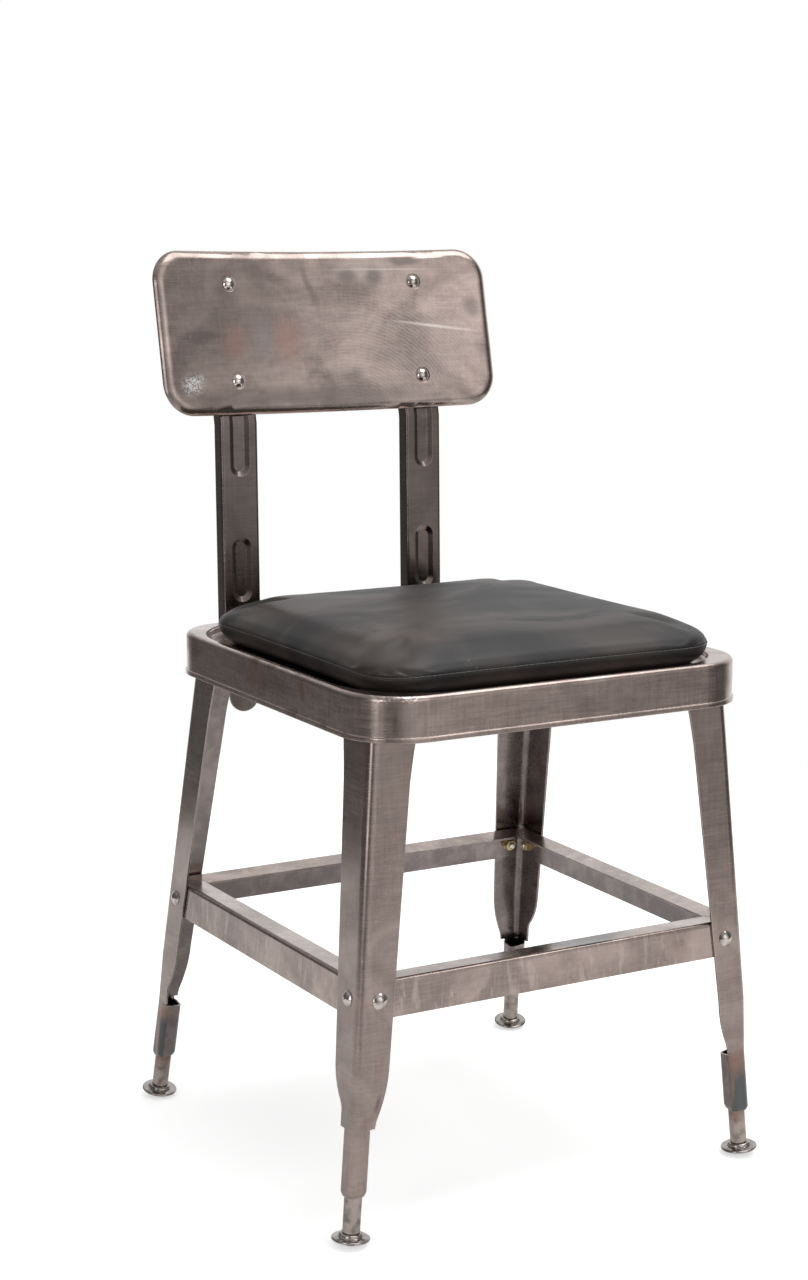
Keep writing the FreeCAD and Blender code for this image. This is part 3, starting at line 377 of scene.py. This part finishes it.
# Back panel: bowed pressed sheet with its edge turned back. It shows the disc's work best:
# curved strokes, dark smudges, a rosy heat tint, a pale line and a chalky scratched patch, and painted shade
# along the bottom edge.
def panel_marks(tree, color, look):
    place = placed(tree)
    wavy = placed(tree, 0.016)
    middle_y = deep = 0.2
    dim = (0.17, 0.140, 0.130)
    pale = (0.56, 0.475, 0.44)
    rose = (0.40, 0.245, 0.20)
    # Each row: middle x and z, half width, half height, strength, colour, lean.
    marks_and_shade = [
        (-0.105, 0.725, 0.100, 0.090, 0.45, (0.21, 0.172, 0.158), 0.0),
        (0.040, 0.768, 0.045, 0.022, 0.50, pale, 0.0),
        (-0.098, 0.702, 0.020, 0.026, 0.55, rose, 0.0),
        (-0.042, 0.704, 0.022, 0.030, 0.60, rose, 0.0),
        (-0.070, 0.706, 0.026, 0.026, 0.40, (0.33, 0.29, 0.285), 0.0),
        (0.0553, 0.7607, 0.014, 0.014, 0.75, dim, 0.0),
        (0.0264, 0.7600, 0.013, 0.012, 0.65, dim, 0.0),
        (0.0920, 0.7737, 0.024, 0.007, 0.70, dim, 0.0),
        (0.1558, 0.7323, 0.014, 0.016, 0.65, dim, 0.0),
        (0.0250, 0.6650, 0.020, 0.016, 0.45, dim, 0.0),
        (0.1050, 0.6900, 0.080, 0.050, 0.35, (0.26, 0.212, 0.195), 0.0),
        (-0.1330, 0.7070, 0.036, 0.008, 0.55, (0.13, 0.107, 0.10), 0.0),
        (-0.0130, 0.7500, 0.006, 0.036, 0.50, (0.16, 0.13, 0.12), -0.28),
        # Painted shade: a darker band across the whole width along the bottom edge, where it turns back.
        (0.0, 0.6500, 0.190, 0.016, 0.60, (0.15, 0.122, 0.113), 0.0),
    ]
    for x, z, wide, high, amount, shade, lean in marks_and_shade:
        mask = patch(tree, wavy, (x, middle_y, z), (wide, deep, high), lean, 0.8)
        color = mixed(tree, maths(tree, "MULTIPLY", mask, amount), color, shade)
    line = patch(tree, place, (0.1150, middle_y, 0.7133), (0.062, deep, 0.0022), 0.125, 0.9)
    color = mixed(tree, maths(tree, "MULTIPLY", line, 0.7), color, (0.74, 0.66, 0.62))
    line = patch(tree, place, (0.0600, middle_y, 0.7670), (0.085, deep, 0.0016), 0.0, 0.9)
    color = mixed(tree, maths(tree, "MULTIPLY", line, 0.45), color, (0.70, 0.62, 0.58))
    fan = add(tree, "TexWave", wave_type="RINGS", rings_direction="Y")
    for label, value in (("Scale", 95.0), ("Distortion", 5.0), ("Detail", 4.0), ("Detail Scale", 1.5)):
        fan.inputs[label].default_value = value
    middle = add(tree, "Mapping")
    middle.inputs["Location"].default_value = (-0.02, 0.0, -0.60)
    tree.links.new(place, middle.inputs["Vector"])
    tree.links.new(middle.outputs["Vector"], fan.inputs["Vector"])
    arcs = maths(tree, "MULTIPLY", between(tree, fan.outputs["Fac"], 0.55, 0.95),
                 patch(tree, wavy, (0.07, middle_y, 0.70), (0.12, deep, 0.075)))
    color = mixed(tree, maths(tree, "MULTIPLY", arcs, 0.22), color, (0.62, 0.53, 0.49))
    scratched = patch(tree, wavy, (-0.1448, middle_y, 0.6660), (0.016, deep, 0.013), 0.0, 0.9)
    chalk = maths(tree, "MULTIPLY", scratched,
                  between(tree, noise_of(tree, place, 520.0, 4.0, 0.75), 0.46, 0.54))
    color = mixed(tree, chalk, color, (0.95, 0.95, 0.95))
    scuffed = patch(tree, wavy, (-0.135, middle_y, 0.725), (0.05, deep, 0.05), 0.0, 0.9)
    flecks = maths(tree, "MULTIPLY", scuffed,
                   between(tree, noise_of(tree, place, 300.0, 3.0, 0.7), 0.64, 0.68))
    return mixed(tree, maths(tree, "MULTIPLY", flecks, 0.5), color, (0.55, 0.52, 0.50))


dress(["back_panel"], steel("panel_steel", 1.0, 0.12, panel_marks))


# Fasteners, stems and glides: domed bolts and glide discs are polished plate, nuts and washers
# yellow zinc, stems and studs turned bar. Two stems browned where their leg was welded.
browned_from, browned_full = 0.022, 0.044


def height_of(tree):
    split = add(tree, "SeparateXYZ")
    tree.links.new(placed(tree, 0.02), split.inputs["Vector"])
    return split.outputs["Z"]


def small_metal(name, color, roughness, scale=900.0, depth=0.05, tinted=False):
    """Plated or turned small steel; tinted browns it upwards, towards the weld."""
    material = bpy.data.materials.new(name)
    material.use_nodes = True
    tree = material.node_tree
    shader = tree.nodes["Principled BSDF"]
    place = placed(tree)
    marks = noise_of(tree, stretched(tree, place, (1.0, 1.0, 4.0)), scale, 3.0, 0.6)
    dulled = between(tree, noise_of(tree, place, 120.0, 3.0, 0.5), 0.42, 0.72)
    finish = mixed(tree, dulled, color, tuple(0.5 * value for value in color))
    if tinted:
        brown = between(tree, height_of(tree), browned_from, browned_full)
        finish = mixed(tree, maths(tree, "MULTIPLY", brown, 0.8), finish, (0.20, 0.125, 0.09))
    tree.links.new(finish, shader.inputs["Base Color"])
    gloss = between(tree, marks, 0.3, 0.7, roughness - depth, roughness + depth)
    tree.links.new(gloss, shader.inputs["Roughness"])
    shader.inputs["Metallic"].default_value = 1.0
    return material


chrome = small_metal("bolt_chrome", (0.60, 0.545, 0.51), 0.10, 500.0, 0.04)
zinc = small_metal("yellow_zinc", (0.60, 0.50, 0.26), 0.30)
turned = small_metal("turned_steel", (0.40, 0.34, 0.305), 0.26)
dress(["stretcher_bolts", "bracket_bolts", "back_bolts"], chrome)
dress(["glide_base_" + corner for corner in corners],
      small_metal("glide_chrome", (0.40, 0.365, 0.345), 0.14, 500.0, 0.04))
dress([place + kind for place in ("stretcher", "bracket", "back") for kind in ("_washers", "_nuts")], zinc)
dress(["back_spacers", "stem_front_left", "stem_rear_right"], turned)
dress(["glide_stud_" + corner for corner in corners], turned)
dress(["stem_front_right", "stem_rear_left"],
      small_metal("browned_steel", (0.40, 0.34, 0.305), 0.28, tinted=True))


def rubber(name):
    material = bpy.data.materials.new(name)
    material.use_nodes = True
    tree = material.node_tree
    shader = tree.nodes["Principled BSDF"]
    dust = noise_of(tree, placed(tree), 300.0, 4.0, 0.6)
    tree.links.new(mixed(tree, between(tree, dust, 0.45, 0.8), (0.012, 0.011, 0.011), (0.05, 0.045, 0.04)),
                   shader.inputs["Base Color"])
    tree.links.new(between(tree, dust, 0.3, 0.7, 0.35, 0.6), shader.inputs["Roughness"])
    return material


dress(["glide_tip_" + corner for corner in corners], rubber("glide_rubber"))


# Seat pad: foam in black matt coated fabric, cut as a top and a bottom sheet that are sewn
# together half way up the side. The foam fills it, so the top crowns and the sides draw in.
pad_low, pad_high = (Vector(corner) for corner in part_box("seat_cushion"))
pad_middle = (pad_low + pad_high) / 2
pad_half_x, pad_half_y = pad_high.x - pad_middle.x, pad_high.y - pad_middle.y
seam_height = pad_low.z + 0.0180
pad_corner, pad_draw_in = 0.049, 0.004
pad_cells = 68
fill_frames = 20
top_swell, side_swell = 0.0035, 0.0012
top_rings = [(1.9, 0.0), (0.7, 0.8), (0.0, 2.4), (0.1, 4.8), (1.0, 7.4), (2.8, 9.7), (5.4, 11.5),
             (9.0, 13.2), (13.6, 14.7), (19.5, 16.1)]
low_rings = [(1.9, 0.0), (0.9, -0.9), (1.1, -2.8), (2.0, -5.8), (3.6, -9.2), (6.2, -12.6), (9.6, -15.6),
             (13.8, -17.4), (18.0, -17.9)]


def pad_place(across, along, inset):
    """Place on the pad's outline, drawn in by inset; across and along run over the unit square."""
    wide, deep = max(pad_half_x - inset, 0.001), max(pad_half_y - inset, 0.001)
    radius = max(pad_corner - 0.5 * inset, 0.004)
    x, y = across * wide, along * deep
    over_x, over_y = abs(x) - (wide - radius), abs(y) - (deep - radius)
    if over_x > 0 and over_y > 0:
        length = max(over_x, over_y) / (over_x ** 2 + over_y ** 2) ** 0.5
        x = (wide - radius + over_x * length) * (1 if x > 0 else -1)
        y = (deep - radius + over_y * length) * (1 if y > 0 else -1)
    x, y = (x * (1 - pad_draw_in / pad_half_x * (1 - (y / deep) ** 2)),
            y * (1 - pad_draw_in / pad_half_y * (1 - (x / wide) ** 2)))
    return pad_middle.x + x, pad_middle.y + y


def ring_profile(ring, rings, crown):
    """Inset from the outline and height over the seam, in metres, of one ring of the sheet."""
    last = len(rings) - 1
    if ring <= last:
        return rings[ring][0] / 1000, rings[ring][1] / 1000
    part = (ring - last) / (pad_cells / 2 - last)
    inset = rings[last][0] / 1000 + part * (pad_half_y - rings[last][0] / 1000)
    return inset, rings[last][1] / 1000 + crown * (1 - (1 - part) ** 3)


pad_mesh = bmesh.new()
rim_points = {}
loose_points = []
for sheet, (rings, crown) in enumerate(((top_rings, 0.0058), (low_rings, 0.0))):
    grid = {}
    for column in range(pad_cells + 1):
        for row in range(pad_cells + 1):
            ring = min(column, row, pad_cells - column, pad_cells - row)
            if ring == 0 and sheet == 1:
                grid[column, row] = rim_points[column, row]
                continue
            reach = pad_cells / 2 - ring
            across = (column - pad_cells / 2) / reach if reach else 0.0
            along = (row - pad_cells / 2) / reach if reach else 0.0
            inset, height = ring_profile(ring, rings, crown)
            x, y = pad_place(across, along, inset)
            point = pad_mesh.verts.new((x, y, seam_height + height))
            grid[column, row] = point
            if ring == 0:
                rim_points[column, row] = point
            elif (sheet == 0 and ring > 1) or (sheet == 1 and 2 < ring < 6):
                loose_points.append(point)
    for column in range(pad_cells):
        for row in range(pad_cells):
            face = [grid[column, row], grid[column + 1, row],
                    grid[column + 1, row + 1], grid[column, row + 1]]
            pad_mesh.faces.new(face if sheet == 0 else face[::-1])
pad_mesh.verts.index_update()
loose = {point.index for point in loose_points}
pad_data = bpy.data.meshes.new("seat_pad")
pad_mesh.to_mesh(pad_data)
pad_mesh.free()
pad = bpy.data.objects.new("seat_pad", pad_data)
bpy.context.scene.collection.objects.link(pad)
start = [point.co.copy() for point in pad_data.vertices]

held = pad.vertex_groups.new(name="held")
held.add([index for index in range(len(start)) if index not in loose], 1.0, "REPLACE")
fill = pad.modifiers.new("fill", "CLOTH")
fill.settings.quality = 5
fill.settings.mass = 0.3
fill.settings.vertex_group_mass = "held"
fill.settings.use_pressure = True
fill.settings.uniform_pressure_force = 4.0
fill.settings.effector_weights.gravity = 0.0
for step in range(1, fill_frames + 1):
    bpy.context.scene.frame_set(step)
swollen = pad.evaluated_get(bpy.context.evaluated_depsgraph_get()).to_mesh()
swell = [swollen.vertices[index].co - place for index, place in enumerate(start)]
pad.evaluated_get(bpy.context.evaluated_depsgraph_get()).to_mesh_clear()
pad.modifiers.remove(fill)
bpy.context.scene.frame_set(1)
for index, move in enumerate(swell):
    cap = top_swell if start[index].z > seam_height else side_swell
    if move.length > cap:
        move *= cap / move.length
    pad_data.vertices[index].co = start[index] + move

# Folds at the rear left corner (place, lean), a dent at the rear edge, and a low front left corner.
corner_folds = ((-0.128, 0.157, 0.5), (-0.146, 0.140, 0.9), (-0.112, 0.163, 0.3))
fold_length, fold_width, fold_depth = 0.035, 0.009, 0.0015
dent_x, dent_y, dent_wide, dent_deep, dent_depth = 0.03, 0.150, 0.05, 0.018, 0.0020
corner_x, corner_y, corner_reach, corner_drop = -0.150, -0.140, 0.03, 0.0012


def near_low_corner(x, y):
    return max(0.0, 1 - ((x - corner_x) ** 2 + (y - corner_y) ** 2) / corner_reach ** 2)


for point in pad_data.vertices:
    x, y = point.co.x - pad_middle.x, point.co.y - pad_middle.y
    above = point.co.z - seam_height
    edge = max(abs(x) / pad_half_x, abs(y) / pad_half_y)
    if above > -0.0005:
        near_seam = max(0.0, 1 - above / 0.014) * max(0.0, (edge - 0.86) / 0.14)
        ripple = noise.noise(Vector((x * 70, y * 70, 2.0)))
        point.co.z += 0.0011 * near_seam * ripple
        swaying = noise.noise(Vector((x * 13, y * 13, 7.0)))
        point.co.z += 0.0004 * swaying * max(0.0, 1 - edge ** 6)
        fold = 0.0
        for fold_x, fold_y, lean in corner_folds:
            along = (x - fold_x) * cos(lean + pi / 2) + (y - fold_y) * sin(lean + pi / 2)
            off = (x - fold_x) * cos(lean) + (y - fold_y) * sin(lean)
            if abs(along) < fold_length and abs(off) < fold_width:
                fold += (1 - (along / fold_length) ** 2) * (1 - (off / fold_width) ** 2) ** 2
        point.co.z -= fold_depth * min(fold, 1.0) * min(1.0, above / 0.006 + 0.2)
        dent = max(0.0, 1 - (((x - dent_x) / dent_wide) ** 2 + ((y - dent_y) / dent_deep) ** 2))
        point.co.z -= dent_depth * dent * dent
    if point.co.z < seam_height + 0.002 and above > -0.004:
        point.co.z -= corner_drop * near_low_corner(x, y)
    point.co.z = min(max(point.co.z, pad_low.z), pad_high.z + 0.002)

finer = pad.modifiers.new("finer", "SUBSURF")
finer.levels = 1
finer.render_levels = 1
smooth_pad = bpy.data.meshes.new_from_object(pad.evaluated_get(bpy.context.evaluated_depsgraph_get()))
pad.modifiers.clear()
pad.data = smooth_pad
smooth_pad.name = "seat_pad_cover"
for point in smooth_pad.vertices:
    point.co.z = max(point.co.z, pad_low.z)
for face in smooth_pad.polygons:
    face.use_smooth = True


def vinyl(name):
    material = bpy.data.materials.new(name)
    material.use_nodes = True
    tree = material.node_tree
    shader = tree.nodes["Principled BSDF"]
    place = placed(tree)
    grain = add(tree, "TexVoronoi", feature="SMOOTH_F1")
    grain.inputs["Scale"].default_value = 850.0
    grain.inputs["Smoothness"].default_value = 0.6
    tree.links.new(place, grain.inputs["Vector"])
    # Painted sheen: brown bands in the black base colour stand in for the vinyl's brownish sheen; the same
    # bands are a little glossier.
    sheen_bands = noise_of(tree, stretched(tree, place, (1.0, 1.6, 1.0), (0.0, 0.0, 0.5)), 9.0, 3.0, 0.5, 0.8)
    color = mixed(tree, between(tree, sheen_bands, 0.38, 0.66), (0.0110, 0.0105, 0.0110), (0.036, 0.026, 0.022))
    specks = maths(tree, "MULTIPLY", between(tree, noise_of(tree, place, 700.0, 2.0, 0.7), 0.66, 0.70),
                   patch(tree, placed(tree, 0.01), (-0.085, -0.205, 0.468), (0.012, 0.012, 0.006)))
    tree.links.new(mixed(tree, specks, color, (0.6, 0.6, 0.6)), shader.inputs["Base Color"])
    tree.links.new(between(tree, sheen_bands, 0.3, 0.7, 0.54, 0.44), shader.inputs["Roughness"])
    shader.inputs["Specular IOR Level"].default_value = 0.42
    creased = noise_of(tree, place, 34.0, 3.0, 0.5, 0.3)
    relief = maths(tree, "ADD", maths(tree, "MULTIPLY", grain.outputs["Distance"], 0.25),
                   maths(tree, "MULTIPLY", creased, 0.2))
    bump = add(tree, "Bump")
    bump.inputs["Strength"].default_value = 0.18
    bump.inputs["Distance"].default_value = 0.0007
    tree.links.new(relief, bump.inputs["Height"])
    tree.links.new(bump.outputs["Normal"], shader.inputs["Normal"])
    return material


pad.data.materials.clear()
pad.data.materials.append(vinyl("black_vinyl"))
dress(["seat_cushion"], pad.data.materials[0])
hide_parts("seat_cushion")
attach(pad, "frame")


# Seam thread: one line of lock stitches sunk in the groove between the pad's two sheets.
def stitch_line():
    """Closed tube whose thickness swells at each stitch."""
    mesh = bmesh.new()
    turns = 700
    thread_radius, stitch_swell, points_a_stitch, thread_inset = 0.00045, 0.00018, 2.8, 0.0012
    path = []
    for step in range(turns):
        side, part = divmod(step / turns * 4, 1.0)
        run = -1 + 2 * part
        across, along = ((run, -1), (1, run), (-run, 1), (-1, -run))[int(side)]
        x, y = pad_place(across, along, thread_inset)
        drop = corner_drop * near_low_corner(x - pad_middle.x, y - pad_middle.y)
        path.append(Vector((x, y, seam_height - drop)))
    hoops = []
    for step, place in enumerate(path):
        ahead = (path[(step + 1) % turns] - path[step - 1]).normalized()
        outward = ahead.cross(Vector((0, 0, 1)))
        thick = thread_radius + stitch_swell * sin(step * 2 * pi / points_a_stitch)
        hoops.append([mesh.verts.new(place + thick * (cos(turn * pi / 3) * outward
                                                      + sin(turn * pi / 3) * Vector((0, 0, 1))))
                      for turn in range(6)])
    for step, hoop in enumerate(hoops):
        following = hoops[(step + 1) % turns]
        for turn in range(6):
            mesh.faces.new((hoop[turn], following[turn], following[(turn + 1) % 6], hoop[(turn + 1) % 6]))
    bmesh.ops.recalc_face_normals(mesh, faces=mesh.faces)
    data = bpy.data.meshes.new("seam_thread")
    mesh.to_mesh(data)
    mesh.free()
    for face in data.polygons:
        face.use_smooth = True
    return bpy.data.objects.new("seam_thread", data)


thread = stitch_line()
bpy.context.scene.collection.objects.link(thread)
thread_nylon = bpy.data.materials.new("thread_nylon")
thread_nylon.use_nodes = True
twist = noise_of(thread_nylon.node_tree, placed(thread_nylon.node_tree), 1500.0, 2.0)
thread_nylon.node_tree.links.new(
    mixed(thread_nylon.node_tree, twist, (0.03, 0.03, 0.03), (0.16, 0.155, 0.15)),
    thread_nylon.node_tree.nodes["Principled BSDF"].inputs["Base Color"])
thread_nylon.node_tree.nodes["Principled BSDF"].inputs["Roughness"].default_value = 0.35
thread.data.materials.append(thread_nylon)
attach(thread, "frame")


# Studio: a small pale floor in a white surround, soft boxes at the front and overhead, and a
# narrow one at the left that draws the bright lines along the upright bends.
# The room is darker to the right and far left, as the reflections in the metal show.
floor_mesh = bmesh.new()
bmesh.ops.create_circle(floor_mesh, cap_ends=True, segments=96, radius=1.5)
floor_data = bpy.data.meshes.new("studio_floor")
floor_mesh.to_mesh(floor_data)
floor_mesh.free()
floor = bpy.data.objects.new("studio_floor", floor_data)
bpy.context.scene.collection.objects.link(floor)
paper = bpy.data.materials.new("floor_paper")
paper.use_nodes = True
paper_tree = paper.node_tree
paper_shader = paper_tree.nodes["Principled BSDF"]
paper_shader.inputs["Base Color"].default_value = (0.90, 0.90, 0.90, 1)
paper_shader.inputs["Roughness"].default_value = 0.9
paper_shader.inputs["Specular IOR Level"].default_value = 0.0
paper_shader.inputs["Emission Color"].default_value = (1.0, 1.0, 1.0, 1)
paper_rays = add(paper_tree, "LightPath")
mirrored = maths(paper_tree, "MAXIMUM", paper_rays.outputs["Is Glossy Ray"],
                 paper_rays.outputs["Is Transmission Ray"])
mirrored = maths(paper_tree, "MULTIPLY", mirrored, 0.3)
seen = maths(paper_tree, "MAXIMUM", paper_rays.outputs["Is Camera Ray"], mirrored)
paper_tree.links.new(maths(paper_tree, "MULTIPLY", seen, 0.56), paper_shader.inputs["Emission Strength"])
floor_data.materials.append(paper)

world = bpy.data.worlds.new("studio")
bpy.context.scene.world = world
world.use_nodes = True
sky = world.node_tree
direction = add(sky, "TexCoord").outputs["Generated"]


def facing_share(toward, low, high):
    dot = add(sky, "VectorMath", operation="DOT_PRODUCT")
    sky.links.new(direction, dot.inputs[0])
    dot.inputs[1].default_value = Vector(toward).normalized()
    return between(sky, dot.outputs["Value"], low, high)


front_wall = facing_share((0.10, -0.97, 0.20), 0.68, 0.97)
backdrop = facing_share((0.62, 0.78, 0.05), 0.50, 0.82)
ceiling = facing_share((0.0, 0.1, 1.0), 0.25, 0.9)
glow = maths(sky, "ADD", maths(sky, "MULTIPLY", front_wall, 0.78), maths(sky, "MULTIPLY", ceiling, 0.45))
glow = maths(sky, "ADD", glow, 0.15)
rays = add(sky, "LightPath")
shiny = maths(sky, "MAXIMUM", rays.outputs["Is Glossy Ray"], rays.outputs["Is Transmission Ray"])
white_seen = maths(sky, "MAXIMUM", rays.outputs["Is Camera Ray"], maths(sky, "MULTIPLY", shiny, backdrop))
background = sky.nodes["Background"]
sky.links.new(mixed(sky, white_seen, glow, (1.0, 1.0, 1.0)), background.inputs["Color"])
background.inputs["Strength"].default_value = 1.0


def soft_lamp(name, place, target, size, power):
    data = bpy.data.lights.new(name, "AREA")
    data.shape = "RECTANGLE"
    data.size, data.size_y = size
    data.energy = power
    lamp = bpy.data.objects.new(name, data)
    lamp.location = place
    lamp.rotation_euler = (Vector(target) - Vector(place)).to_track_quat("-Z", "Y").to_euler()
    bpy.context.scene.collection.objects.link(lamp)


soft_lamp("front_box", (0.35, -2.7, 1.25), (0.0, 0.0, 0.5), (1.3, 1.5), 5)
soft_lamp("top_box", (0.75, -0.3, 2.45), (0.0, 0.0, 0.4), (1.7, 1.7), 28)
soft_lamp("left_strip", (-2.3, -1.25, 0.9), (0.0, 0.0, 0.5), (0.9, 1.7), 11)

# Camera: its place, aim and lens were solved from the photograph, a little above the seat and
# to the left of the front. The last part of its y is how far the frame shifts the seat's middle.
lens = bpy.data.cameras.new("photo_camera")
lens.sensor_fit = "VERTICAL"
lens.sensor_height = 36.0
lens.lens = 2364.27 * 36.0 / 1280
camera = bpy.data.objects.new("photo_camera", lens)
bearing, rise, roll = radians(-29.868), radians(10.3135), radians(0.288)
back = Vector((sin(bearing) * cos(rise), -cos(bearing) * cos(rise), sin(rise)))
level = Vector((cos(bearing), sin(bearing), 0.0))
top = back.cross(level)
right = cos(roll) * level + sin(roll) * top
up = -sin(roll) * level + cos(roll) * top
camera.matrix_world = Matrix(((right.x, up.x, back.x, -1.05342), (right.y, up.y, back.y, -1.7485 - 0.035456),
                              (right.z, up.z, back.z, 0.82309), (0, 0, 0, 1)))
bpy.context.scene.collection.objects.link(camera)
bpy.context.scene.camera = camera
bpy.context.scene.view_settings.view_transform = "Standard"
